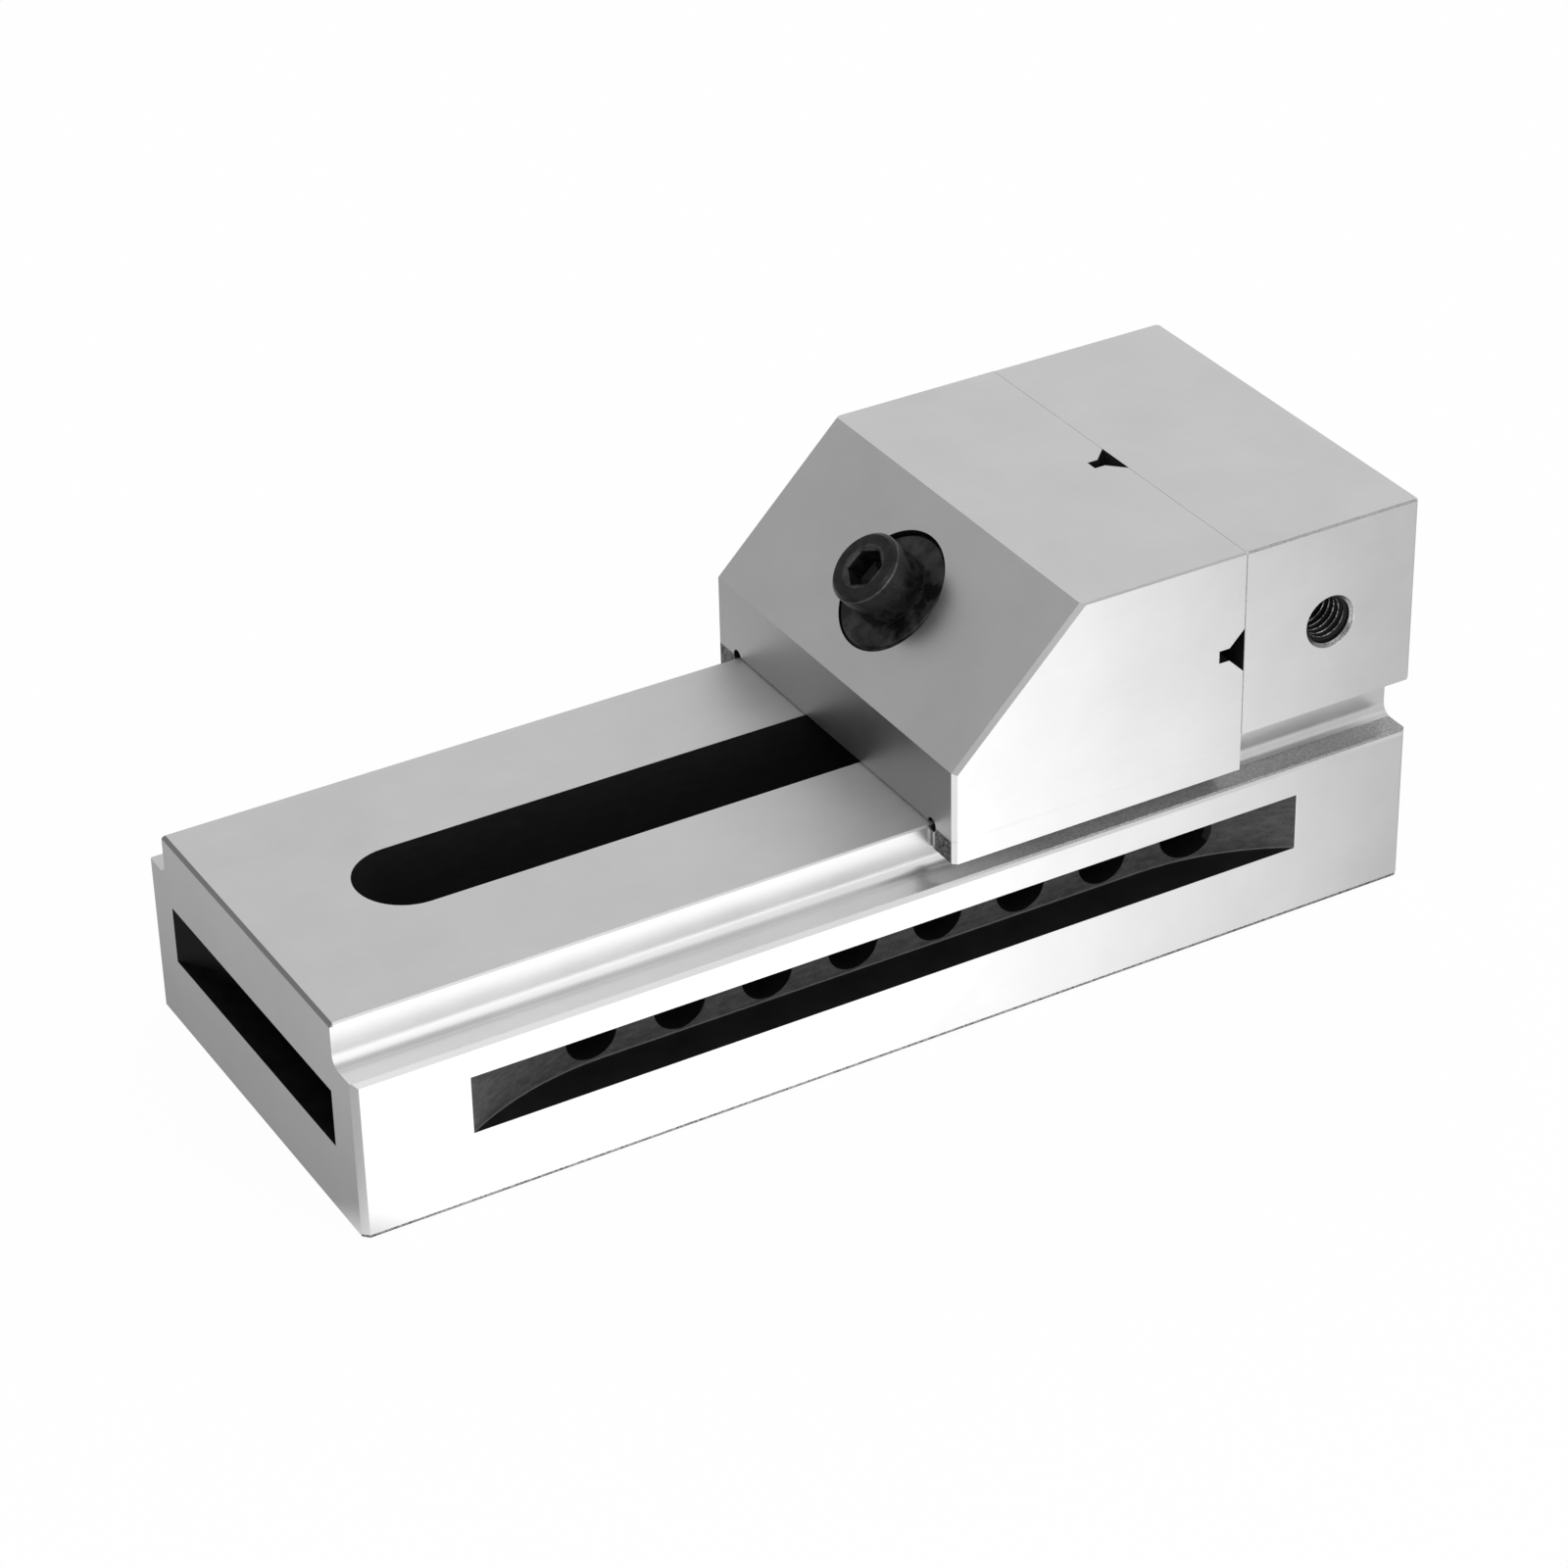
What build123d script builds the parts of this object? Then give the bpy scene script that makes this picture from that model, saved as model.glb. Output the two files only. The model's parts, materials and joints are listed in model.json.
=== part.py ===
from build123d import *
import os
from math import acos, atan2, cos, degrees, radians, sin, sqrt, tan

# Screwless toolmaker's vise. All sizes are in millimetres.
# The origin is the centre of the underside. X runs along the bed towards the fixed jaw,
# Y across it and Z up. The jaws are drawn closed, with the cross pin let down clear of its notches.

# Bed and fixed jaw, ground from one block
bed_length = 188.0
jaw_width = 73.0
bed_height = 35.0
jaw_depth = 35.0
fixed_jaw_length = 32.8
rail_width = 60.0
lip_height = 27.8
groove_fillet = 2.0
overhang_height = 37.4
bed_corner_chamfer = 1.0
base_chamfer = 0.4
lip_chamfer = 0.7
rail_end_chamfer = 0.6
jaw_corner_chamfer = 0.7
fixed_top_chamfer = 0.4
fine_chamfer = 0.3
foot_relief_radius = 0.8

# Clamp recesses, plunged with a disc cutter into both sides and both ends
recess_bottom = 12.5
recess_height = 10.0
recess_depth = 7.0
cutter_radius = 50.0
side_recess_length = 147.8
side_recess_start = 18.8
end_recess_length = 57.4

# Ladder of cross holes, opened from below by the central pocket
notch_count = 8
notch_pitch = 15.3
notch_diameter = 9.0
notch_height = 17.6
last_notch_inset = 5.8
pocket_ceiling = 19.2
slot_width = 17.0
slot_start = 18.8
pocket_width = 33.0
pocket_corner_radius = 8.5
pocket_lead = 10.0

# Tapped holes for a work stop, one on each side of the fixed jaw
stop_thread_diameter = 8.0
stop_hole_depth = 14.0
stop_hole_rim_diameter = 9.2
stop_hole_drop = 17.2
drill_point_angle = 118.0

# Movable jaw
moving_jaw_length = 53.0
bevel_run = 22.8
bevel_angle = radians(45)
skirt_drop = 4.0
corner_relief_radius = 1.2
vee_mouth = 7.6
vee_angle = radians(90)
vee_relief_width = 2.2
vee_total_depth = 4.6
vee_drop = 17.2

# Clamp screw, M8 socket head
screw_diameter = 8.0
head_diameter = 12.75
head_height = 8.0
head_chamfer = 0.8
socket_across_flats = 6.0
socket_depth = 4.0
screw_length = 65.0
tip_chamfer = 0.9

# Spherical washer and its seat in the bevel
ball_radius = 10.45
ball_depth = 1.0
ball_offset = 0.2
washer_diameter = 19.7
washer_top = 0.8
washer_chamfer = 0.3
swing_angle = radians(9)
swing_margin = radians(2)
bore_radius = 4.5
spring_bore_radius = 6.0
spring_seat_distance = 18.0

# Cross pin, the nut that pulls the jaw down
pin_length = 31.0
journal_diameter = 8.0
barrel_diameter = 11.0
barrel_length = 11.5
barrel_flat = 4.6
pin_chamfer = 0.5

# Return spring round the screw, between the jaw and the pin
wire_diameter = 1.0
spring_inside_diameter = 8.8
spring_turns = 9
coil_sides = 10
wire_sides = 6

# Clearances
slide_clearance = 0.05
skirt_clearance = 0.10
closed_gap = 0.05
ball_clearance = 0.10
washer_hole_clearance = 0.20
head_seat_clearance = 0.02
thread_clearance = 0.05
release_clearance = 0.30
spring_end_clearance = 0.30
pocket_end_clearance = 5.6
slot_end_clearance = 5.8
cut_margin = 1.0

# Places that follow from the sizes
left_end = -bed_length / 2
right_end = bed_length / 2
jaw_top = bed_height + jaw_depth
fixed_face = right_end - fixed_jaw_length
jaw_front = fixed_face - closed_gap
jaw_back = jaw_front - moving_jaw_length
bevel_rise = bevel_run * tan(bevel_angle)
bevel_foot = jaw_top - bevel_rise
skirt_bottom = bed_height - skirt_drop
rail_gap_top = bed_height + slide_clearance
seat_radius = ball_radius + ball_clearance

# Centre of the ball seat, under the bevel and a little below the middle of it
ball_centre = Vector(
    jaw_back + bevel_run / 2 + ball_depth * sin(bevel_angle) - ball_offset * cos(bevel_angle),
    0,
    bevel_foot + bevel_rise / 2 - ball_depth * cos(bevel_angle) - ball_offset * sin(bevel_angle),
)

# The screw leans so that it points at the last notch
last_notch = fixed_face - last_notch_inset
first_notch = last_notch - (notch_count - 1) * notch_pitch
notch_x_offset = last_notch - ball_centre.X
notch_drop = ball_centre.Z - notch_height
screw_lean = atan2(notch_x_offset, notch_drop)

# The pin is drawn released: its journals hang just below the ceiling of the pocket
journal_radius = journal_diameter / 2
released_height = pocket_ceiling - release_clearance - journal_radius
released_reach = (ball_centre.Z - released_height) / cos(screw_lean)
pin_centre = Vector(
    ball_centre.X + released_reach * sin(screw_lean),
    0,
    released_height,
)


def lean_plane(angle, reach=0.0):
    """Plane along a bar through the ball centre that leans back from the vertical by angle.

    Its Y axis points up the bar, out of the bevel, its X axis is square to the bar,
    and its origin lies reach below the ball centre.
    """
    origin = (
        ball_centre.X + reach * sin(angle),
        0,
        ball_centre.Z - reach * cos(angle),
    )
    return Plane(origin=origin, x_dir=(cos(angle), 0, sin(angle)), z_dir=(0, -1, 0))


def square_plane(angle, reach=0.0):
    """Plane square to the same bar, facing up out of the bevel."""
    along = lean_plane(angle, reach)
    return Plane(origin=along.origin, x_dir=along.x_dir, z_dir=along.y_dir)


class DiscCutterPlan(BaseSketchObject):
    """Plan of a recess plunged with a disc cutter: a straight floor that runs out in an arc at each end."""

    def __init__(self, opening, depth, radius, mode=Mode.ADD):
        run_out = sqrt(radius**2 - (radius - depth) ** 2)
        half_opening = opening / 2
        half_floor = half_opening - run_out
        with BuildSketch() as plan:
            with BuildLine():
                TangentArc((-half_floor, depth), (-half_opening, 0), tangent=(-1, 0))
                Polyline(
                    (-half_opening, 0),
                    (-half_opening, -cut_margin),
                    (half_opening, -cut_margin),
                    (half_opening, 0),
                )
                TangentArc((half_floor, depth), (half_opening, 0), tangent=(1, 0))
                Line((-half_floor, depth), (half_floor, depth))
            make_face()
        super().__init__(plan.sketch, 0, None, mode)


class VeeSection(BaseSketchObject):
    """Section of a vee groove with a square relief at its root, cut towards -X."""

    def __init__(self, mode=Mode.ADD):
        vee_depth = (vee_mouth - vee_relief_width) / 2 / tan(vee_angle / 2)
        with BuildSketch() as section:
            with BuildLine():
                Polyline(
                    (0, vee_mouth / 2),
                    (-vee_depth, vee_relief_width / 2),
                    (-vee_total_depth, vee_relief_width / 2),
                    (-vee_total_depth, -vee_relief_width / 2),
                    (-vee_depth, -vee_relief_width / 2),
                    (0, -vee_mouth / 2),
                    close=True,
                )
            make_face()
        super().__init__(section.sketch, 0, None, mode)


class SwungBore(BasePartObject):
    """Bore for a bar that swings about the ball centre, from start to end along the bar."""

    def __init__(self, radius, start, end, mode=Mode.SUBTRACT):
        steep = screw_lean - swing_angle - swing_margin
        shallow = screw_lean + swing_margin
        corners = [
            (steep, start),
            (steep, end),
            (shallow, end),
            (shallow, start),
        ]
        with BuildPart() as bore:
            for angle in (steep, shallow):
                with BuildSketch(square_plane(angle, start)):
                    Circle(radius)
                extrude(amount=-(end - start))
            with BuildSketch(Plane.XZ):
                with BuildLine():
                    points = [lean_plane(angle, reach).origin for angle, reach in corners]
                    Polyline(*[(point.X, point.Z) for point in points], close=True)
                make_face()
            extrude(amount=radius, both=True)
        super().__init__(bore.part, (0, 0, 0), None, mode)


# Body: the grooved bed with the fixed jaw standing on its neck
with BuildPart() as body:
    with BuildSketch(Plane.YZ.offset(left_end)) as bed_section:
        Rectangle(jaw_width, lip_height, align=(Align.CENTER, Align.MIN))
        Rectangle(rail_width, bed_height, align=(Align.CENTER, Align.MIN))
        groove_corners = bed_section.vertices().group_by(Axis.Y)[1].sort_by(Axis.X)[1:-1]
        fillet(groove_corners, groove_fillet)
    extrude(amount=bed_length)
    with BuildSketch(Plane.YZ.offset(right_end)):
        Rectangle(rail_width, overhang_height, align=(Align.CENTER, Align.MIN))
        with Locations((0, overhang_height)):
            Rectangle(jaw_width, jaw_top - overhang_height, align=(Align.CENTER, Align.MIN))
    extrude(amount=-fixed_jaw_length)

    # Broken edges
    outer_corners = body.edges().filter_by(Axis.Z).filter_by(
        lambda edge: abs(edge.center().Y) > (rail_width + groove_fillet) / 2
    )
    bed_corners = outer_corners.filter_by(lambda edge: edge.center().Z < bed_height)
    jaw_corners = outer_corners.filter_by(
        lambda edge: edge.center().Z > bed_height and edge.center().X > fixed_face + cut_margin
    )
    chamfer(bed_corners, bed_corner_chamfer)
    chamfer(jaw_corners, jaw_corner_chamfer)
    chamfer(body.faces().sort_by(Axis.Z)[0].edges(), base_chamfer)
    fixed_top_edges = body.faces().sort_by(Axis.Z)[-1].edges().filter_by(
        lambda edge: edge.center().X > fixed_face + cut_margin
    )
    chamfer(fixed_top_edges, fixed_top_chamfer)
    rail_edges = body.edges().filter_by(Axis.X).filter_by_position(
        Axis.Z, bed_height - cut_margin / 2, bed_height + cut_margin / 2
    )
    chamfer(rail_edges, fine_chamfer)
    rail_end_edge = body.edges().filter_by(Axis.Y).filter_by_position(
        Axis.Z, bed_height - cut_margin / 2, bed_height + cut_margin / 2
    ).sort_by(Axis.X)[0]
    chamfer(rail_end_edge, rail_end_chamfer)
    lip_edges = body.edges().filter_by(Axis.X).filter_by_position(
        Axis.Z, lip_height - cut_margin / 2, lip_height + cut_margin / 2
    )
    chamfer(lip_edges, lip_chamfer)

    # Clamp recesses in the two sides and the two ends
    side_recess_middle = left_end + side_recess_start + side_recess_length / 2
    recesses = [
        ((side_recess_middle, -jaw_width / 2), (1, 0, 0), side_recess_length),
        ((side_recess_middle, jaw_width / 2), (-1, 0, 0), side_recess_length),
        ((left_end, 0), (0, -1, 0), end_recess_length),
        ((right_end, 0), (0, 1, 0), end_recess_length),
    ]
    for (recess_x, recess_y), along_face, opening in recesses:
        recess_origin = (recess_x, recess_y, recess_bottom)
        with BuildSketch(Plane(origin=recess_origin, x_dir=along_face, z_dir=(0, 0, 1))):
            DiscCutterPlan(opening, recess_depth, cutter_radius)
        extrude(amount=recess_height, mode=Mode.SUBTRACT)

    # Slot for the screw, open from the underside to the rail top
    slot_end = pin_centre.X + slot_end_clearance
    slot_length = slot_end - (left_end + slot_start)
    with BuildSketch():
        with Locations((slot_end - slot_length / 2, 0)):
            SlotOverall(slot_length, slot_width)
    extrude(amount=bed_height, mode=Mode.SUBTRACT)

    # Wider pocket from below, whose ceiling opens the cross holes into notches
    pocket_start = first_notch - pocket_lead
    pocket_end = pin_centre.X + barrel_diameter / 2 + pocket_end_clearance
    with BuildSketch():
        with Locations(((pocket_start + pocket_end) / 2, 0)):
            RectangleRounded(pocket_end - pocket_start, pocket_width, pocket_corner_radius)
    extrude(amount=pocket_ceiling, mode=Mode.SUBTRACT)

    # Ladder of cross holes, drilled through from recess to recess
    ladder_middle = ((first_notch + last_notch) / 2, 0, notch_height)
    with BuildSketch(Plane(origin=ladder_middle, x_dir=(1, 0, 0), z_dir=(0, -1, 0))):
        with GridLocations(notch_pitch, 0, notch_count, 1):
            Circle(notch_diameter / 2)
    extrude(amount=(jaw_width - recess_depth) / 2, both=True, mode=Mode.SUBTRACT)

    # Tapped holes for a work stop, at their thread's outer diameter
    thread_radius = stop_thread_diameter / 2
    rim_radius = stop_hole_rim_diameter / 2
    point_depth = thread_radius / tan(radians(drill_point_angle / 2))
    stop_hole_x = (fixed_face + right_end) / 2
    stop_hole_z = jaw_top - stop_hole_drop
    for side in (-1, 1):
        mouth = (stop_hole_x, side * jaw_width / 2, stop_hole_z)
        with BuildSketch(Plane(origin=mouth, x_dir=(1, 0, 0), z_dir=(0, 0, -side))):
            with BuildLine():
                Polyline(
                    (0, 0),
                    (rim_radius, 0),
                    (thread_radius, rim_radius - thread_radius),
                    (thread_radius, stop_hole_depth),
                    (0, stop_hole_depth + point_depth),
                    close=True,
                )
            make_face()
        revolve(axis=Axis(mouth, (0, 1, 0)), mode=Mode.SUBTRACT)

    # Relief at the foot of the gripping face, so that face and rail grind to a clean corner
    with BuildSketch(Plane(origin=(fixed_face, 0, bed_height), x_dir=(1, 0, 0), z_dir=(0, -1, 0))):
        Circle(foot_relief_radius)
    extrude(amount=rail_width / 2, both=True, mode=Mode.SUBTRACT)
body.part.label = "body"

# Movable jaw: a block with a bevelled back that straddles the rails
with BuildPart() as movable_jaw:
    with BuildSketch(Plane.XZ):
        with BuildLine():
            Polyline(
                (jaw_front, skirt_bottom),
                (jaw_front, jaw_top),
                (jaw_back + bevel_run, jaw_top),
                (jaw_back, bevel_foot),
                (jaw_back, skirt_bottom),
                close=True,
            )
        make_face()
    extrude(amount=jaw_width / 2, both=True)
    side_faces = movable_jaw.faces().filter_by(Axis.Y)
    corner_edges = side_faces.edges().filter_by(
        lambda edge: edge.center().X < jaw_back + bevel_run
    )
    chamfer(corner_edges, jaw_corner_chamfer)
    top_edges = movable_jaw.faces().sort_by(Axis.Z)[-1].edges().filter_by(Axis.X)
    chamfer(top_edges, fine_chamfer)

    # Channel over the rails, with a relief in each inner corner
    channel_width = rail_width + 2 * skirt_clearance
    with BuildSketch(Plane.YZ.offset(jaw_front)):
        with Locations((0, skirt_bottom)):
            Rectangle(channel_width, rail_gap_top - skirt_bottom, align=(Align.CENTER, Align.MIN))
        with Locations((-channel_width / 2, rail_gap_top), (channel_width / 2, rail_gap_top)):
            Circle(corner_relief_radius)
    extrude(amount=-moving_jaw_length, mode=Mode.SUBTRACT)
    channel_edges = movable_jaw.faces().sort_by(Axis.X)[0].edges().filter_by(
        lambda edge: abs(edge.center().Y) < channel_width / 2 + slide_clearance
        and edge.center().Z < bed_height + cut_margin
    )
    chamfer(channel_edges.filter_by(GeomType.LINE), fine_chamfer)

    # Vee grooves for round work, one across the gripping face and one down it
    across_origin = (jaw_front, 0, jaw_top - vee_drop)
    with BuildSketch(Plane(origin=across_origin, x_dir=(1, 0, 0), z_dir=(0, -1, 0))):
        VeeSection()
    extrude(amount=jaw_width / 2, both=True, mode=Mode.SUBTRACT)
    with BuildSketch(Plane(origin=(jaw_front, 0, skirt_bottom), x_dir=(1, 0, 0), z_dir=(0, 0, 1))):
        VeeSection()
    extrude(amount=jaw_top - skirt_bottom, mode=Mode.SUBTRACT)

    # Ball seat, entered through a round pocket in the bevel
    with BuildSketch(lean_plane(bevel_angle)):
        with BuildLine():
            CenterArc((0, 0), seat_radius, -90, 90)
            Polyline(
                (seat_radius, 0),
                (seat_radius, ball_depth + cut_margin),
                (0, ball_depth + cut_margin),
                (0, -seat_radius),
            )
        make_face()
    revolve(axis=Axis(ball_centre, lean_plane(bevel_angle).y_dir), mode=Mode.SUBTRACT)

    # Bores that let the screw and its spring swing
    bore_end = 2 * (ball_centre.Z - bed_height)
    SwungBore(bore_radius, 0, bore_end)
    SwungBore(spring_bore_radius, spring_seat_distance, bore_end)
movable_jaw.part.label = "movable_jaw"

# Clamp screw: socket head screw that leans towards the last notch
head_seat = washer_top + head_seat_clearance
head_top = head_seat + head_height
screw_tip = head_seat - screw_length
with BuildPart() as clamp_screw:
    with BuildSketch(lean_plane(screw_lean)):
        with BuildLine():
            Polyline(
                (0, head_top),
                (head_diameter / 2 - head_chamfer, head_top),
                (head_diameter / 2, head_top - head_chamfer),
                (head_diameter / 2, head_seat),
                (screw_diameter / 2, head_seat),
                (screw_diameter / 2, screw_tip + tip_chamfer),
                (screw_diameter / 2 - tip_chamfer, screw_tip),
                (0, screw_tip),
                close=True,
            )
        make_face()
    revolve(axis=Axis(ball_centre, lean_plane(screw_lean).y_dir))
    with BuildSketch(square_plane(screw_lean, -head_top)):
        RegularPolygon(socket_across_flats / 2, 6, major_radius=False)
    extrude(amount=-socket_depth, mode=Mode.SUBTRACT)
clamp_screw.part.label = "clamp_screw"

# Spherical washer: a ball zone with a flat top under the screw head
washer_hole_radius = screw_diameter / 2 + washer_hole_clearance
rim_radius = washer_diameter / 2
rim_angle = degrees(acos(rim_radius / ball_radius))
hole_angle = degrees(acos(washer_hole_radius / ball_radius))
with BuildPart() as spherical_washer:
    with BuildSketch(lean_plane(screw_lean)):
        with BuildLine():
            ball_zone = CenterArc((0, 0), ball_radius, -rim_angle, rim_angle - hole_angle)
            Polyline(
                ball_zone @ 0,
                (rim_radius, washer_top - washer_chamfer),
                (rim_radius - washer_chamfer, washer_top),
                (washer_hole_radius, washer_top),
                ball_zone @ 1,
            )
        make_face()
    revolve(axis=Axis(ball_centre, lean_plane(screw_lean).y_dir))
spherical_washer.part.label = "spherical_washer"

# Cross pin: a tapped barrel with a journal on each side for the notches
barrel_radius = barrel_diameter / 2
with BuildPart() as cross_pin:
    with BuildSketch(Plane(origin=pin_centre, x_dir=(0, 1, 0), z_dir=(1, 0, 0))):
        with BuildLine():
            Polyline(
                (0, 0),
                (pin_length / 2, 0),
                (pin_length / 2, journal_radius - pin_chamfer),
                (pin_length / 2 - pin_chamfer, journal_radius),
                (barrel_length / 2, journal_radius),
                (barrel_length / 2, barrel_radius - pin_chamfer),
                (barrel_length / 2 - pin_chamfer, barrel_radius),
                (0, barrel_radius),
                close=True,
            )
        make_face()
        mirror(about=Plane.YZ)
    revolve(axis=Axis(pin_centre, (0, 1, 0)))
    with BuildSketch(square_plane(screw_lean, released_reach)):
        Circle(screw_diameter / 2 + thread_clearance)
    extrude(amount=barrel_diameter, both=True, mode=Mode.SUBTRACT)
    with BuildSketch(square_plane(screw_lean, released_reach - barrel_flat)):
        Rectangle(barrel_diameter, barrel_length + cut_margin)
    extrude(amount=barrel_radius, mode=Mode.SUBTRACT)
cross_pin.part.label = "cross_pin"

# Return spring: pushes the pin out of its notch when the screw is slackened
coil_radius = (spring_inside_diameter + wire_diameter) / 2
spring_start = released_reach - barrel_flat - spring_end_clearance - wire_diameter / 2
spring_end = spring_seat_distance + spring_end_clearance + wire_diameter / 2
spring_length = spring_start - spring_end
spring_base = square_plane(screw_lean, spring_start)
coil_steps = spring_turns * coil_sides
with BuildPart() as return_spring:
    with BuildLine():
        coil = Helix(
            pitch=spring_length / spring_turns,
            height=spring_length,
            radius=coil_radius,
            center=spring_base.origin,
            direction=spring_base.z_dir,
            mode=Mode.PRIVATE,
        )
        runs = Polyline(*[coil @ (step / coil_steps) for step in range(coil_steps + 1)])
    with BuildSketch(Plane(origin=runs @ 0, z_dir=runs % 0)):
        RegularPolygon(wire_diameter / 2, wire_sides)
    sweep(transition=Transition.RIGHT)
return_spring.part.label = "return_spring"

os.makedirs("parts", exist_ok=True)
for piece in (body, movable_jaw, clamp_screw, spherical_washer, cross_pin, return_spring):
    export_step(piece.part, f"parts/{piece.part.label}.step")
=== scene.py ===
"""Looks of a screwless toolmaker's vise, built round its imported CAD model.

X runs along the bed towards the fixed jaw, Y across it and Z up. The CAD model and every mesh are
in metres. The sizes below are in millimetres where nothing else is said.
"""

import json
from math import acos, cos, degrees, pi, radians, sin, tan

import bpy
import numpy as np
from mathutils import Matrix, Vector


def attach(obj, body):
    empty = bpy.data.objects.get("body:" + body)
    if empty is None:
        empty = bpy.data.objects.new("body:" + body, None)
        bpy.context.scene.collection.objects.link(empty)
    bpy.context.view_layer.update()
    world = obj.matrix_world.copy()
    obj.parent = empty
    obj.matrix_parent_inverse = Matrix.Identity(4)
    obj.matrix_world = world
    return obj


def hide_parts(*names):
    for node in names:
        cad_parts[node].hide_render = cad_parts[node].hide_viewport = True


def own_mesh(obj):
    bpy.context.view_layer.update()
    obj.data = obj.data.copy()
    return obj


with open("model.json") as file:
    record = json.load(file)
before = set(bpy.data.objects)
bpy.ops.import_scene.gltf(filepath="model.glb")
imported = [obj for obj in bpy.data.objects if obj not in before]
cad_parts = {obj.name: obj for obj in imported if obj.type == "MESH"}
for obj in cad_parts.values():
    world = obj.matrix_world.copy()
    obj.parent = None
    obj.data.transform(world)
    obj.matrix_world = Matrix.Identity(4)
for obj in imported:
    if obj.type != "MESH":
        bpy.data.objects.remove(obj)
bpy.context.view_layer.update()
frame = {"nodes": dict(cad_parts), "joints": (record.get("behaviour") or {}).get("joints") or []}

MM = 0.001
joints = {joint["name"]: joint for joint in frame["joints"]}

# The screw's axis starts at the centre of the ball seat and points out of the bevel.
ball_centre = np.array(joints["screw_swing"]["pos_m"])
outward = np.array(joints["pin_lift"]["axis"])
outward = outward / np.linalg.norm(outward)
uphill = np.array([outward[2], 0.0, -outward[0]])
SCREW_AXES = np.array([uphill, [0.0, 1.0, 0.0], outward])

# Cap screw, along and from its axis
HEAD_SEAT, HEAD_TOP = 0.82, 8.82
HEAD_RADIUS, HEAD_CHAMFER, HEAD_EDGE_ROUND, HEAD_BOTTOM_ROUND = 6.3, 0.65, 0.14, 0.3
SOCKET_APOTHEM, SOCKET_CHAMFER, SOCKET_RIM, SOCKET_DEPTH, SOCKET_POINT = 3.0, 0.5, 3.85, 4.0, 1.3
SHANK_RADIUS, CORE_RADIUS, TIP_RADIUS, TIP_CHAMFER = 4.0, 3.25, 2.6, 0.65
SCREW_TIP, THREAD_TOP = -64.18, -36.0
THREAD_PITCH = 1.25

# Ball washer under the head, along and from the same axis
BALL_RADIUS, WASHER_RADIUS, WASHER_HOLE = 10.43, 10.0, 4.2
WASHER_RIM, WASHER_TOP, WASHER_CHAMFER = 0.35, 0.8, 0.2

# Return spring, along and from the same axis
SPRING_TOP, SPRING_BOTTOM, SPRING_TRAVEL = -18.1, -52.35, 4.04
WIRE_RADIUS, COIL_RADIUS, ACTIVE_TURNS, CLOSED_TURNS = 0.5, 4.9, 7.5, 1.0

# Stop holes in the sides of the fixed jaw, and their threads
STOP_X, STOP_Z, STOP_RADIUS, STOP_CREST, STOP_RIM = 77.6, 52.8, 4.0, 3.4, 4.6
STOP_THREAD_START, STOP_THREAD_END = 0.35, 13.2

# Outer faces of the vise
BED_END, SIDE, RAIL_SIDE = 94.0, 36.5, 30.0
LEDGE_TOP, RAIL_TOP, NECK_TOP, JAW_TOP = 27.8, 35.0, 37.4, 70.0

# Hollows of the body, each a little wider than it is, so that its walls lie inside the mask
RECESS_LOW, RECESS_HIGH, SIDE_RECESS_MIDDLE, SIDE_RECESS_REACH = 12.4, 22.6, -1.3, 75.0
LADDER_FACE, END_RECESS_REACH, END_RECESS_FLOOR = 29.2, 29.3, 88.6
POCKET_REACH, POCKET_END = 17.0, 90.0

# Movable jaw: its back and front faces, vee grooves, screw slot and its channel's inner corners
JAW_BACK, SEAM_X = 8.15, 61.2
VEE_Z, VEE_REACH, VEE_ROOT, VEE_FOOT = 52.8, 3.95, 56.4, 31.0
JAW_SLOT_REACH, JAW_SLOT_END, UNDER_BEVEL = 10.9, 56.0, 1.35
CHANNEL_Y, CHANNEL_Z, RELIEF_RADIUS = 30.1, 35.05, 1.22

# Ground steel: its tone and roughness, and the cells of its patterns to the metre
STEEL_TONE, STEEL_ROUGHNESS = 0.79, 0.31
GRAIN_ALONG, GRAIN_ACROSS, CLOUDS, FLECKS, TOOL_MARKS = 90, 3200, 70.0, 3000.0, (420, 420, 1300)

# Window that the metal mirrors: its brightness by place, from 0 at the left to 1 at the right
WINDOW_LOW = (
    (0.15, 0.34), (0.35, 0.36), (0.45, 0.46), (0.58, 0.8), (0.62, 1.0),
    (0.66, 1.0), (0.677, 0.92), (0.7, 0.62), (0.7125, 0.42), (0.724, 0.23),
    (0.74, 0.13), (0.775, 0.11), (0.83, 0.26), (1, 0.36),
)
WINDOW_HIGH = ((0.15, 0.5), (0.35, 0.6), (0.45, 0.9), (0.71, 1), (0.78, 0.6), (1, 0.5))
DARK_STAND_DIRECTION = (-0.4175, -0.74, 0.5274)

# Floor that the metal mirrors: its brightness in front, along a slanting line, and behind, along X.
# Front passes into behind at a diagonal near the left corner. These three are in metres.
FLOOR_LINE, FLOOR_PASSAGE, FLOOR_CORNER = 0.2, 0.024, 0.0575
FLOOR_FRONT = (
    (0.38, 1.0), (0.44, 0.94), (0.5, 0.9), (0.565, 0.84), (0.625, 0.765),
    (0.65, 0.74), (0.71, 0.685), (0.775, 0.607), (0.88, 0.459), (1.0, 0.373),
)
# Behind, the dip at the left end's foot is a painted shadow of the vise.
FLOOR_BEHIND = ((0.36, 0.45), (0.382, 0.48), (0.401, 0.36), (0.41, 0.33), (0.46, 0.85))

# Camera and key lamp: their places and the lamp's size are in metres
CAMERA_PLACE = (-0.312623, -0.552797, 0.423411)
CAMERA_RIGHT = (0.864577, -0.502102, -0.019993)
CAMERA_FORWARD = (0.417535, 0.739959, -0.527376)
CAMERA_LENS, SENSOR_WIDTH = 108.572, 36.0
LAMP_PLACE, LAMP_TARGET = (-0.38, -0.62, 0.74), (0, 0, 0.06)
LAMP_SIZE, LAMP_POWER = 0.1, 0.5


# Meshes


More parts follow.
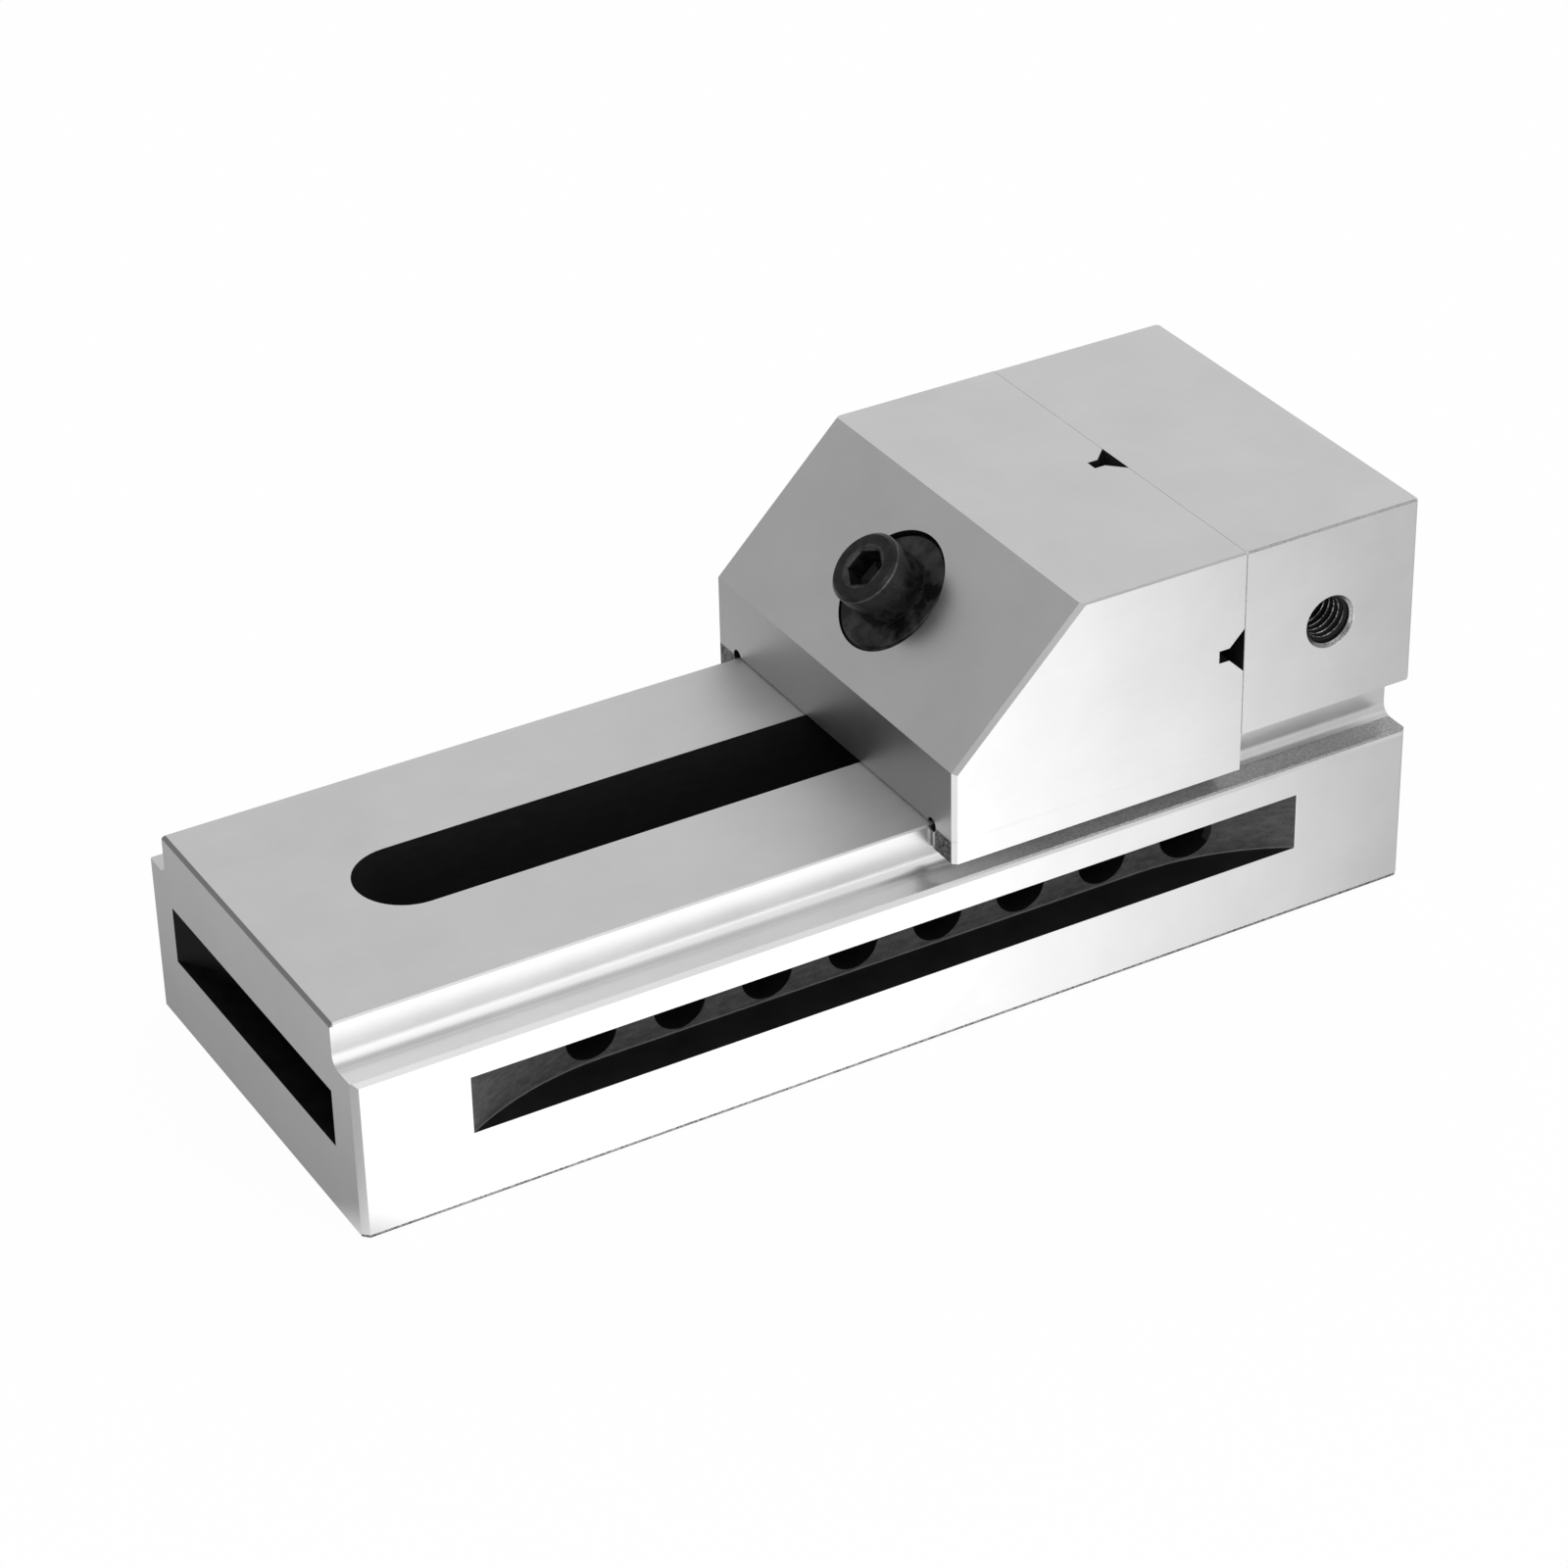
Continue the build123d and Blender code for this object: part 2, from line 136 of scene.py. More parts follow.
def ring_faces(rings, columns, joined=False):
    """Quads of a tube of rings, columns points in each. Joined, its last ring meets the first."""
    spans = rings if joined else rings - 1
    ring, column = np.meshgrid(np.arange(spans), np.arange(columns), indexing="ij")
    after = (ring + 1) % rings
    right = (column + 1) % columns
    corners = [
        ring * columns + column,
        ring * columns + right,
        after * columns + right,
        after * columns + column,
    ]
    return np.stack(corners, axis=-1).reshape(-1, 4).tolist()


def capped_faces(rings, columns):
    """The same quads, with a flat face over each end."""
    first = list(range(columns))[::-1]
    last = list(range((rings - 1) * columns, rings * columns))
    return [*ring_faces(rings, columns), first, last]


def piece(name, points, faces, material, body, sharp=35.0):
    """A mesh object from points and face lists, smooth but for edges steeper than sharp degrees."""
    mesh = bpy.data.meshes.new(name)
    mesh.from_pydata(np.asarray(points, float).tolist(), [], faces)
    mesh.validate()
    mesh.shade_smooth()
    mesh.set_sharp_from_angle(angle=radians(sharp))
    mesh.materials.append(material)
    made = bpy.data.objects.new(name, mesh)
    bpy.context.scene.collection.objects.link(made)
    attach(made, body)
    return made


def along_screw(across, sideways, height):
    """Points in the CAD model's frame, from millimetres in the screw's own axes."""
    local = np.stack([across, sideways, height], axis=-1)
    return ball_centre + MM * local @ SCREW_AXES


def rings_of(profile, angles):
    """Radius and height of each ring of a profile, at every angle."""
    return np.array(profile).T[:, :, None] * np.ones_like(angles)


def turned(radius, height, angles):
    """Surface of revolution about the screw: ring k has radius[k] and height[k] at each angle."""
    across = radius * np.cos(angles)
    sideways = radius * np.sin(angles)
    return along_screw(across, sideways, height).reshape(-1, 3)


def round_corner(centre_r, centre_h, size, start, end, steps=6):
    """Points of an arc in the profile plane, from start to end degrees."""
    turn = np.radians(np.linspace(start, end, steps))
    return [(centre_r + size * cos(a), centre_h + size * sin(a)) for a in turn]


def even_turns(turns, each):
    """Places along a helix, in turns, with so many steps to each turn."""
    return np.linspace(0, turns, int(turns * each))


def thread_ridge(root, root_width, crest, crest_width):
    """Corners of a trapezium: out from the path and along the axis. Widths below 0 turn it over."""
    foot, top = root_width / 2, crest_width / 2
    return np.array([(root, -foot), (crest, -top), (crest, top), (root, foot)])


def faded(turn, rise, fall):
    """A ridge's height: next to nothing at both ends, 1 from rise turns in to fall turns short."""
    return np.clip(np.minimum(turn / rise, (turn[-1] - turn) / fall), 0.05, 1)


def helical_tube(turn, path_radius, path_height, section, scale, axial=True):
    """Closed tube carried along a helix, as local points and faces.

    A point is the path's point plus scale times the section's first value along the radius and its
    second value along the axis, or square to the path where axial is false. Both ends are flat.
    """
    angle = 2 * pi * turn
    radial = np.stack([np.cos(angle), np.sin(angle), 0 * angle], axis=-1)
    centre = path_radius * radial
    centre[:, 2] = path_height
    side = np.zeros_like(radial)
    side[:, 2] = 1.0
    if not axial:
        side = np.cross(radial, np.gradient(centre, axis=0))
        side *= np.sign(side[:, 2:3]) / np.linalg.norm(side, axis=1, keepdims=True)
    offsets = section[None, :, 0:1] * radial[:, None] + section[None, :, 1:2] * side[:, None]
    points = centre[:, None] + scale[:, None, None] * offsets
    return points.reshape(-1, 3), capped_faces(len(turn), len(section))


# Materials


def grey(level):
    return (level, level, level, 1)


class Value:
    """A number on a shader's wire. Arithmetic on it adds Math nodes, as in a formula."""

    def __init__(self, shader, socket):
        self.shader = shader
        self.socket = socket

    def math(self, operation, *others):
        return self.shader.math(operation, self, *others)

    def __add__(self, other):
        return self.math("ADD", other)

    def __sub__(self, other):
        return self.math("SUBTRACT", other)

    def __mul__(self, other):
        return self.math("MULTIPLY", other)

    def __rsub__(self, other):
        return self.shader.math("SUBTRACT", other, self)

    __radd__ = __add__
    __rmul__ = __mul__

    def above(self, other):
        return self.math("GREATER_THAN", other)

    def below(self, other):
        return self.math("LESS_THAN", other)

    def size(self):
        return self.math("ABSOLUTE")

    def either(self, other):
        return self.math("MAXIMUM", other)

    def between(self, low, high):
        return self.above(low) * self.below(high)


class Shader:
    """Builder of one node tree. Every node comes from add()."""

    def __init__(self, owner):
        owner.use_nodes = True
        self.tree = owner.node_tree
        self.tree.nodes.clear()

    def add(self, kind, settings=None, inputs=None, out=0):
        """A node of that kind: its settings first, then the values or links of its sockets.

        What comes back is the output that out names, one for each name of a tuple, or nothing.
        """
        node = self.tree.nodes.new(kind)
        for key, value in (settings or {}).items():
            if key == "stops":
                elements = node.color_ramp.elements
                for stop, (position, level) in enumerate(value):
                    element = elements[stop] if stop < 2 else elements.new(position)
                    element.position = position
                    element.color = grey(level)
            else:
                setattr(node, key, value)
        for key, value in (inputs or {}).items():
            if isinstance(value, Value):
                self.tree.links.new(value.socket, node.inputs[key])
            else:
                node.inputs[key].default_value = value
        if out is None:
            return None
        if isinstance(out, tuple):
            return tuple(Value(self, node.outputs[name]) for name in out)
        return Value(self, node.outputs[out])

    def math(self, operation, *terms):
        return self.add("ShaderNodeMath", {"operation": operation}, dict(enumerate(terms)))

    def vector(self, operation, first, second, out="Vector"):
        inputs = {0: first, 1: second}
        return self.add("ShaderNodeVectorMath", {"operation": operation}, inputs, out)

    def dot(self, first, second):
        return self.vector("DOT_PRODUCT", first, second, "Value")

    def stretched(self, point, factors):
        """The point with each coordinate multiplied by its factor."""
        return self.vector("MULTIPLY", point, factors)

    def coordinate(self, name):
        return self.add("ShaderNodeTexCoord", out=name)

    def split(self, vector):
        """A vector's three values."""
        return self.add("ShaderNodeSeparateXYZ", inputs={0: vector}, out=("X", "Y", "Z"))

    def millimetres(self, point):
        """The three values of a point, in millimetres."""
        return [value * (1 / MM) for value in self.split(point)]

    def facing(self):
        """The surface's normal on the piece, as three values."""
        return self.split(self.coordinate("Normal"))

    def noise(self, point, scale, detail=2.0, roughness=0.5):
        """Even cloud noise, 0 to 1, about 0.5."""
        inputs = {"Vector": point, "Scale": scale, "Detail": detail, "Roughness": roughness}
        return self.add("ShaderNodeTexNoise", inputs=inputs)

    def ramp(self, factor, *stops):
        """Grey that follows the factor through (place, grey) stops."""
        return self.add("ShaderNodeValToRGB", {"stops": stops}, {0: factor})

    def mix(self, factor, first, second):
        """Colour blend from first at factor 0 to second at factor 1.

        The node's colour sockets are inputs 6 and 7 and output 2.
        """
        return self.add("ShaderNodeMix", {"data_type": "RGBA"}, {0: factor, 6: first, 7: second}, 2)

    def bump(self, height, distance):
        """Normal bent by a height pattern of that depth in metres."""
        inputs = {"Height": height, "Distance": distance, "Strength": 1.0}
        return self.add("ShaderNodeBump", inputs=inputs)

    def surface(self, **inputs):
        """The principled surface as the material's output."""
        named = {key.replace("_", " "): value for key, value in inputs.items()}
        self.finish("ShaderNodeOutputMaterial", self.add("ShaderNodeBsdfPrincipled", inputs=named))

    def finish(self, kind, skin):
        self.add(kind, inputs={"Surface": skin}, out=None)


def strongest(*masks):
    """The highest of several masks."""
    highest = masks[0]
    for mask in masks[1:]:
        highest = highest.either(mask)
    return highest


def body_places(shader, x, y, z):
    """Where the body isn't bright: masks of recess walls, near-black painted shade, speckled
    painted shade and a darker, rougher edge.
    """
    wide = y.size()
    at_recess = z.between(RECESS_LOW, RECESS_HIGH)
    upright_wall = shader.facing()[2].size().below(0.5) * wide.above(LADDER_FACE)
    side_recess = (x - SIDE_RECESS_MIDDLE).size().below(SIDE_RECESS_REACH)
    side_recess = side_recess * at_recess * wide.below(SIDE - 0.05)
    end_recess = at_recess * x.size().below(BED_END - 0.05) * wide.below(END_RECESS_REACH)
    pocket = wide.below(POCKET_REACH) * x.size().below(POCKET_END)
    pocket = pocket * z.between(0.02, RAIL_TOP - 0.05)

    # Painted shade in the stop holes: near black inside, with darkened bright steel on the thread
    # crests and countersinks.
    across = x - STOP_X
    up = z - STOP_Z
    from_axis = across * across + up * up
    stop_hole = from_axis.below((STOP_RADIUS + 0.02) ** 2) * wide.below(SIDE - 0.05)
    crest = stop_hole * from_axis.below((STOP_CREST + 0.12) ** 2) * wide.above(SIDE - 12.5)
    countersink = from_axis.below((STOP_RIM + 0.03) ** 2) * wide.below(SIDE - 0.03) - stop_hole

    # Painted shade lines along the bottom edges, along the seam with the movable jaw and along the
    # fixed jaw's top edges.
    base_edge = z.below(0.75) * shader.facing()[1].size().above(0.3)
    seam_edge = x.between(SEAM_X - 0.1, SEAM_X + 0.14) * wide.above(SIDE - 0.1)
    seam_edge = seam_edge * z.above(NECK_TOP + 0.1)
    top_edge = x.above(SEAM_X + 0.3) * z.above(JAW_TOP - 0.38) * wide.above(SIDE - 0.38)
    # The rail's left end top edge is made darker and rougher; the darkening is a painted shade
    # line.
    rail_end_edge = x.below(0.58 - BED_END) * z.above(RAIL_TOP - 0.58)
    # Painted shade on the ledge under and beside the movable jaw's skirt.
    ledge = z.between(LEDGE_TOP - 0.3, LEDGE_TOP + 0.5) * wide.between(RAIL_SIDE + 1.5, SIDE - 0.4)
    ledge_under_jaw = ledge * shader.ramp(x * 0.01, (0.05, 0), (0.25, 1))

    walls = side_recess * upright_wall
    # The recess floors and ceilings, the end recesses, the pocket and the stop holes get near-black
    # painted shade; the upright recess walls keep a dark milled skin.
    black = strongest(side_recess * (1 - upright_wall), end_recess, pocket, stop_hole - crest)
    edges = strongest(0.9 * base_edge, 0.5 * seam_edge, 0.45 * top_edge)
    painted_shade = strongest(crest, 0.75 * countersink, edges, 0.56 * ledge_under_jaw)
    return walls, black, painted_shade, rail_end_edge


def jaw_places(shader, x, y, z):
    """The same masks for the movable jaw. Its screw slot, vees and reliefs get near-black painted
    shade, its foot and the back of its skirt get speckled painted shade, and its back and chamfers
    are darker and rougher.
    """
    wide = y.size()
    ball_x, _, ball_z = (ball_centre / MM).tolist()
    under_bevel = ((z - ball_z) - (x - ball_x)).below(UNDER_BEVEL)
    screw_slot = x.between(JAW_BACK + 0.45, JAW_SLOT_END) * z.between(RAIL_TOP + 0.1, JAW_TOP - 0.1)
    screw_slot = screw_slot * wide.below(JAW_SLOT_REACH) * under_bevel
    level_vee = (z - VEE_Z).size().below(VEE_REACH) * wide.below(SIDE - 0.05)
    upright_vee = wide.below(VEE_REACH) * z.between(VEE_FOOT, JAW_TOP - 0.05)
    vees = x.between(VEE_ROOT, SEAM_X - 0.1) * level_vee.either(upright_vee)
    across = wide - CHANNEL_Y
    up = z - CHANNEL_Z
    reliefs = (across * across + up * up).below(RELIEF_RADIUS**2) * x.above(JAW_BACK + 0.15)

    facing_x, facing_y, _ = shader.facing()
    # Painted shade at the jaw's foot on the rail and on the back of its skirt.
    foot = x.below(JAW_BACK + 0.32) * wide.below(RAIL_SIDE + 0.45) * z.below(RAIL_TOP + 0.4)
    back = x.below(JAW_BACK + 0.75) * facing_x.below(-0.8)
    skirt_back = back * z.below(RAIL_TOP - 0.1) * wide.above(RAIL_SIDE + 1.0)
    chamfers = facing_y.size().between(0.3, 0.9)

    # Painted shade: the screw slot, the vees and the corner reliefs are near black, though the vees
    # are ground steel.
    black = strongest(screw_slot, vees, reliefs)
    painted_shade = (0.6 * foot).either(skirt_back) * (1 - reliefs)
    # The back and the chamfers are made darker and rougher; on the chamfers the darkening is
    # painted shade that tones down their highlight.
    return 0.0, black, painted_shade, (0.85 * back).either(0.5 * chamfers)


def ground_steel(name, places):
    """Surface ground steel: fine straight grain, faint clouds, and painted shade in hollows, along
    edges and under the jaw.

    The grain is noise stretched along X, or along Y on the ends. Some places are darker and
    rougher. In the hollows the bright metal gives way to the cutter's marks: a dark milled skin on
    the recess walls, with a painted highlight line at their foot, and near-black painted shade
    elsewhere.
    """
    made = bpy.data.materials.new(name)
    shader = Shader(made)
    point = shader.coordinate("Object")
    x, y, z = shader.millimetres(point)
    walls, black, painted_shade, darker_rougher = places(shader, x, y, z)
    dark = walls + black

    on_end = shader.facing()[0].size().above(0.5)
    lengthways = shader.stretched(point, (GRAIN_ALONG, GRAIN_ACROSS, GRAIN_ACROSS))
    sideways = shader.stretched(point, (GRAIN_ACROSS, GRAIN_ALONG, GRAIN_ACROSS))
    grain = shader.noise(lengthways, 1.0, 3.0) * (1 - on_end)
    grain = grain + shader.noise(sideways, 1.0, 3.0) * on_end
    cloud = shader.noise(point, CLOUDS, 4.0, 0.6)
    fleck = shader.noise(point, FLECKS, 3.0)
    tool_mark = shader.noise(shader.stretched(point, TOOL_MARKS), 1.0, 4.0, 0.6)

    bright = STEEL_TONE + 0.13 * (cloud - 0.5) + 0.03 * (grain - 0.5)
    specks = shader.ramp(fleck, (0.35, 0), (0.65, 1))
    # Speckled painted shade and the darker, rougher places both darken the bright steel.
    speckled_shade = 0.78 * painted_shade * (0.72 + 0.56 * specks)
    ground = bright * (1 - 0.5 * darker_rougher) * (1 - speckled_shade)
    # A painted highlight line along the foot of the recess walls.
    painted_foot_highlight = z.below(RECESS_LOW + 0.4)
    streaks = shader.ramp(tool_mark, (0.3, 0), (0.75, 1))
    milled = 0.03 + 0.07 * streaks + 0.07 * fleck + 0.1 * painted_foot_highlight
    # Near-black tone of the painted shade, darker still in the end recesses.
    hollow = 0.007 + 0.014 * tool_mark - 0.01 * x.size().above(END_RECESS_FLOOR)

    rubbed = z.between(RAIL_TOP - 0.1, RAIL_TOP + 0.1)
    rubbed = rubbed * shader.ramp(x * 0.01 + 0.5, (0.15, 0), (0.5, 1))
    polish = STEEL_ROUGHNESS + 0.10 * (cloud - 0.5) + 0.06 * (grain - 0.5)
    polish = polish + 0.15 * darker_rougher + 0.22 * rubbed
    shader.surface(
        Base_Color=ground * (1 - dark) + milled * walls + hollow * black,
        Metallic=1 - dark,
        Roughness=polish * (1 - dark) + dark * (0.45 + 0.2 * tool_mark),
        Specular_IOR_Level=0.2,
        Normal=shader.bump(grain * (1 - dark) + 8 * fleck * walls, 0.9e-6),
    )
    return made


def black_oxide(name, stain_scale, stain):
    """Black oxide on turned steel: nearly black and oily, with dry grey stains.

    It is rubbed bare along the edges of the screw's head. Height and reach are the point's
    distances along the screw's axis and from it, in millimetres.
    """
    made = bpy.data.materials.new(name)
    shader = Shader(made)
    point = shader.coordinate("Object")
    from_centre = shader.vector("SUBTRACT", point, tuple(ball_centre))
    height = shader.dot(from_centre, tuple(outward)) * (1 / MM)
    reach = (shader.dot(from_centre, from_centre) * (1 / MM**2) - height * height).math("SQRT")

    on_side = reach.above(HEAD_RADIUS - 0.2)
    side_edge = on_side * (height - (HEAD_TOP - HEAD_CHAMFER)).size().below(0.15)
    foot_edge = on_side * height.between(HEAD_SEAT + 0.01, HEAD_SEAT + 0.35)
    socket_edge = reach.between(SOCKET_APOTHEM - 0.1, SOCKET_RIM + 0.1)
    socket_edge = socket_edge * height.above(HEAD_TOP - 0.55)
    edges = strongest(side_edge, 0.5 * socket_edge, foot_edge) * reach.below(HEAD_RADIUS + 0.05)

    cloud = shader.noise(point, 620.0, 4.0, 0.6)
    fleck = shader.noise(point, 3500.0, 2.0)
    dry = shader.ramp(shader.noise(point, stain_scale, 4.0, 0.6), (0.4, 0), (0.66, 1))
    worn = edges * shader.ramp(cloud, (0.35, 0.2), (0.65, 0.6))
    oxide_tone = 0.004 + stain * dry + 0.004 * fleck
    shader.surface(
        Base_Color=oxide_tone * (1 - worn) + 0.2 * worn,
        Metallic=worn,
        Roughness=0.25 + 0.22 * dry * (1 - edges),
        Specular_IOR_Level=0.3,
        Normal=shader.bump(fleck + cloud, 1e-5),
    )
    return made


def plain_steel(name, level, roughness):
    """Bare steel of a hidden piece, with faint stains and drawing or turning marks."""
    made = bpy.data.materials.new(name)
    shader = Shader(made)
    point = shader.coordinate("Object")
    cloud = shader.noise(point, 240.0, 4.0, 0.6)
    fleck = shader.noise(point, 2200.0, 2.0)
    shader.surface(
        Base_Color=level + 0.16 * level * (cloud - 0.5) + 0.1 * level * (fleck - 0.5),
        Metallic=1.0,
        Roughness=roughness + 0.14 * (cloud - 0.5),
        Normal=shader.bump(fleck, 3e-6),
    )
    return made


body_steel = ground_steel("ground_steel_body", body_places)
jaw_steel = ground_steel("ground_steel_jaw", jaw_places)
screw_oxide = black_oxide("black_oxide_screw", 620.0, 0.014)
washer_oxide = black_oxide("black_oxide_washer", 330.0, 0.05)
pin_steel = plain_steel("pin_steel", 0.42, 0.32)
wire_steel = plain_steel("spring_wire", 0.30, 0.28)

finishes = {
    "body": body_steel,
    "movable_jaw": jaw_steel,
    "spherical_washer": washer_oxide,
    "cross_pin": pin_steel,
    "clamp_screw": screw_oxide,
    "return_spring": wire_steel,
}
for node, finish in finishes.items():
    skin = frame["nodes"][node].data.materials
    skin.clear()
    skin.append(finish)


# Pieces


def cap_screw():
    """Socket head screw as one closed surface of revolution, from the tip to the socket's point.

    Each ring's radius and height are functions of the angle: circles outside, and in the socket a
    hexagon, whose radius is its apothem over the cosine of the angle from the nearest flat's
    middle. The socket's chamfer follows the flats at 45 degrees, and a circle cuts its corners off.
    On the head, arcs of one size join the side, the 45 degree chamfer and the face.
    """
    angles = np.linspace(0, 2 * pi, 144, endpoint=False)
    profile = [
        (0.001, SCREW_TIP),
        (TIP_RADIUS, SCREW_TIP),
        (CORE_RADIUS, SCREW_TIP + TIP_CHAMFER),
        (CORE_RADIUS, THREAD_TOP - 0.2),
        (SHANK_RADIUS, THREAD_TOP + 0.9),
        (SHANK_RADIUS, HEAD_SEAT - 0.3),
        (SHANK_RADIUS + 0.1, HEAD_SEAT),
    ]
    bottom = HEAD_SEAT + HEAD_BOTTOM_ROUND
    arc_reach = HEAD_EDGE_ROUND * tan(radians(22.5))
    side_top = HEAD_TOP - HEAD_CHAMFER - arc_reach
    face_radius = HEAD_RADIUS - HEAD_CHAMFER - arc_reach
    profile += round_corner(HEAD_RADIUS - HEAD_BOTTOM_ROUND, bottom, HEAD_BOTTOM_ROUND, -90, 0)
    profile += round_corner(HEAD_RADIUS - HEAD_EDGE_ROUND, side_top, HEAD_EDGE_ROUND, 0, 45)
    profile += round_corner(face_radius, HEAD_TOP - HEAD_EDGE_ROUND, HEAD_EDGE_ROUND, 45, 90)
    radius, height = rings_of(profile, angles)

    from_flat = angles % (pi / 3) - pi / 6
    hexagon = SOCKET_APOTHEM / np.cos(from_flat)
    rim = np.minimum((SOCKET_APOTHEM + SOCKET_CHAMFER) / np.cos(from_flat), SOCKET_RIM)
    top = np.full_like(angles, HEAD_TOP)
    floor = top - SOCKET_DEPTH
    radius = np.vstack([radius, rim, hexagon, hexagon, np.full_like(angles, 0.001)])
    height = np.vstack([height, top, top - (rim - hexagon), floor, floor - SOCKET_POINT])
    points = turned(radius, height, angles)
    faces = capped_faces(*radius.shape)
    screw = piece("cap_screw", points, faces, screw_oxide, "screw")
    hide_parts("clamp_screw")


def ball_washer():
    """Half-ball washer as one closed surface of revolution: ball zone, rim, flat top and hole."""
    angles = np.linspace(0, 2 * pi, 128, endpoint=False)
    hole_turn = degrees(acos(WASHER_HOLE / BALL_RADIUS))
    profile = round_corner(0, 0, BALL_RADIUS, -hole_turn, 0, 24)
    profile += [
        (WASHER_RADIUS, WASHER_RIM),
        (WASHER_RADIUS, WASHER_TOP - WASHER_CHAMFER),
        (WASHER_RADIUS - WASHER_CHAMFER, WASHER_TOP),
        (WASHER_HOLE + WASHER_CHAMFER, WASHER_TOP),
        (WASHER_HOLE, WASHER_TOP - WASHER_CHAMFER),
    ]
    radius, height = rings_of(profile, angles)
    points = turned(radius, height, angles)
    faces = ring_faces(*radius.shape, joined=True)
    washer = piece("ball_washer", points, faces, washer_oxide, "swivel", 25.0)
    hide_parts("spherical_washer")


def screw_thread():
    """Right-hand thread ridge on the screw's core: a trapezium carried along a helix.

    The ridge's height fades to nothing over the first and the last half turn.
    """
    turn = even_turns((THREAD_TOP - SCREW_TIP - 1.6) / THREAD_PITCH, 48)
    crest = SHANK_RADIUS - 0.03 - CORE_RADIUS
    section = thread_ridge(-0.1, 0.9 * THREAD_PITCH, crest, 0.13 * THREAD_PITCH)
    height = SCREW_TIP + 0.9 + THREAD_PITCH * turn
    points, faces = helical_tube(turn, CORE_RADIUS, height, section, faded(turn, 0.5, 0.5))
    placed = along_screw(*points.T)
    piece("cap_screw_thread", placed, faces, screw_oxide, "screw", 25.0)


def spring():
    """Compression spring with closed and ground ends: a round wire carried along a helix.

    The pitch is one wire over the closed turns and even over the active ones, and the end turns are
    cut off flat.
    """
    total = ACTIVE_TURNS + 2 * CLOSED_TURNS
    turn = even_turns(total, 56)
    wire = 2 * WIRE_RADIUS
    ground_off = 0.2 * wire
    length = SPRING_TOP - SPRING_BOTTOM
    closed_rise = CLOSED_TURNS * wire
    active_rise = length - 2 * closed_rise - 2 * ground_off
    ends = [0, CLOSED_TURNS, CLOSED_TURNS + ACTIVE_TURNS, total]
    rises = [0, closed_rise, closed_rise + active_rise, 2 * closed_rise + active_rise]
    height = SPRING_BOTTOM + ground_off + np.interp(turn, ends, rises)
    corner = np.linspace(0, 2 * pi, 14, endpoint=False)
    section = WIRE_RADIUS * np.stack([np.cos(corner), np.sin(corner)], axis=-1)
    evenly = np.ones_like(turn)
    points, faces = helical_tube(turn, COIL_RADIUS, height, section, evenly, axial=False)
    points[:, 2] = np.clip(points[:, 2], SPRING_BOTTOM, SPRING_TOP)
    placed = along_screw(*points.T)
    coil = piece("spring_coil", placed, faces, wire_steel, "swivel")
    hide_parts("return_spring")
    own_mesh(coil)


def stop_thread(name, side):
    """Right-hand thread inside a stop hole: a trapezium that points inwards, carried along a helix.

    The ridge's height fades to nothing over the first 0.6 turn and the last half turn.
    """
    turn = even_turns((STOP_THREAD_END - STOP_THREAD_START - THREAD_PITCH) / THREAD_PITCH, 64)
    crest = STOP_CREST - STOP_RADIUS
    section = thread_ridge(0.05, -0.93 * THREAD_PITCH, crest, -0.16 * THREAD_PITCH)
    into = STOP_THREAD_START + THREAD_PITCH * (turn + 0.5)
    points, faces = helical_tube(turn, STOP_RADIUS, into, section, faded(turn, 0.6, 0.5))
    across, up, inwards = points.T
    placed = np.stack([STOP_X + side * across, side * (SIDE - inwards), STOP_Z + up], axis=-1)
    piece(name, MM * placed, faces, body_steel, "base", 25.0)


cap_screw()
screw_thread()
ball_washer()
spring()
stop_thread("stop_thread_near", -1)
stop_thread("stop_thread_far", 1)


# Floor, light and camera


def studio_floor():
    """Wide pale floor, white for the camera but for a trace of the object's shadow.

    Polished metal sees it glow with painted light: white in front, greyer towards the right and at
    the left end, where it stands for less light falling on it. Its glow carries painted shadows
    under the vise, beside its near side and at its left end's foot.
    """
    half = 3.0
    corners = [(-half, -half, 0), (half, -half, 0), (half, half, 0), (-half, half, 0)]
    mesh = bpy.data.meshes.new("floor")
    mesh.from_pydata(corners, [], [(0, 1, 2, 3)])
    material = bpy.data.materials.new("floor_paper")
    shader = Shader(material)
    x, y, _ = shader.split(shader.coordinate("Object"))
    rightwards = (x + 0.5 * y) * (1 / FLOOR_LINE) + 0.5
    past_corner = (x - y + FLOOR_CORNER) * (1 / FLOOR_PASSAGE) + 0.5
    # Painted shadow: the glow dims beside the vise's near side.
    beside = shader.ramp(y * -1, (0.037, 0.9), (0.075, 1))
    front = 1.5 * shader.ramp(rightwards, *FLOOR_FRONT) * beside
    behind = shader.ramp(x + 0.5, *FLOOR_BEHIND)
    in_front = shader.ramp(past_corner, (0, 0), (1, 1))
    # Painted shadow: the glow under the vise is almost put out.
    footprint = x.size().below((BED_END - 0.1) * MM) * y.size().below((SIDE - 0.1) * MM)
    reflected = (front * in_front + behind * (1 - in_front)) * (1 - 0.9 * footprint)
    seen = shader.add("ShaderNodeLightPath", out="Is Camera Ray")
    mirrored = shader.add("ShaderNodeLightPath", out="Is Glossy Ray")
    paper = shader.add("ShaderNodeBsdfDiffuse", inputs={"Color": grey(0.82)})
    shine = 1.03 * seen + mirrored * reflected
    white = shader.add("ShaderNodeEmission", inputs={"Color": shine, "Strength": 1.0})
    both = shader.add("ShaderNodeMixShader", inputs={0: seen * 0.93 + mirrored, 1: paper, 2: white})
    shader.finish("ShaderNodeOutputMaterial", both)
    mesh.materials.append(material)
    floor = bpy.data.objects.new("floor", mesh)
    bpy.context.scene.collection.objects.link(floor)


